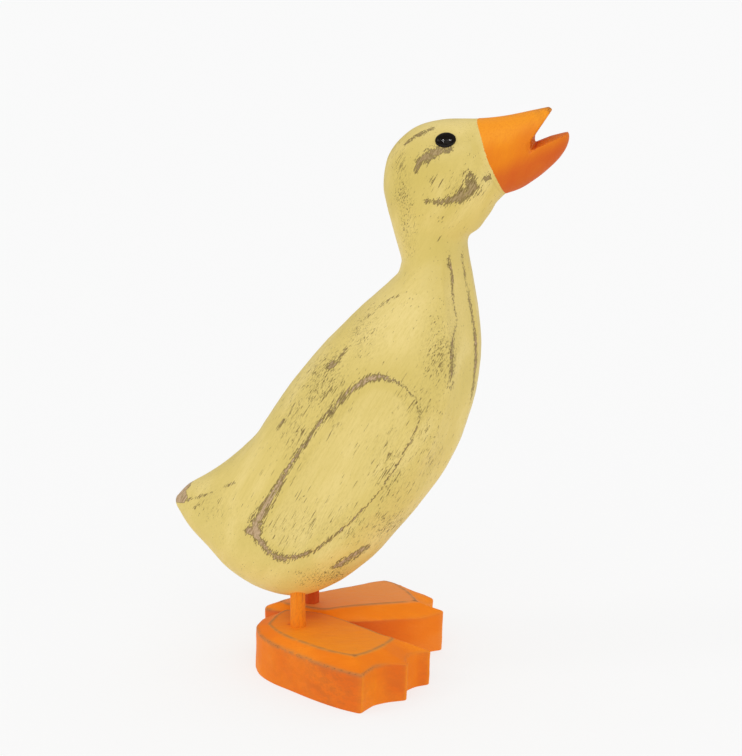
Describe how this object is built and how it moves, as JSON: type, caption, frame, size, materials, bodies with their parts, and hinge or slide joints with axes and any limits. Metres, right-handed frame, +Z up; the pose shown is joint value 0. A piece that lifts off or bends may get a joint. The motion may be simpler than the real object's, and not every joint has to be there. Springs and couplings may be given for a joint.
{
  "type": "carved wooden duck figure",
  "caption": "Free-standing carved wooden duck with raised head, open bill and chunky three-toed block feet on dowel legs, in worn paint.",
  "frame": {"origin": "on the surface the duck stands on, under the middle of its box", "axes": "+X the way the duck faces, +Y its left, +Z up"},
  "size_m": [0.2059, 0.14, 0.3003],
  "materials": {
    "yellow_paint": "satin pale-yellow paint over wood, rubbed through to grey-brown wood on the ridges",
    "orange_paint": "satin orange paint over wood, rubbed through along the edges",
    "bare_wood": "plain sanded dowel",
    "eye_gloss": "gloss black bead"
  },
  "bodies": {
    "root": {"body": "yellow_paint", "head": "yellow_paint", "neck_dowel": "bare_wood", "eye_left": "eye_gloss", "eye_right": "eye_gloss", "leg_left": "orange_paint", "leg_right": "orange_paint", "foot_left": "orange_paint", "foot_right": "orange_paint"}
  },
  "joints": []
}
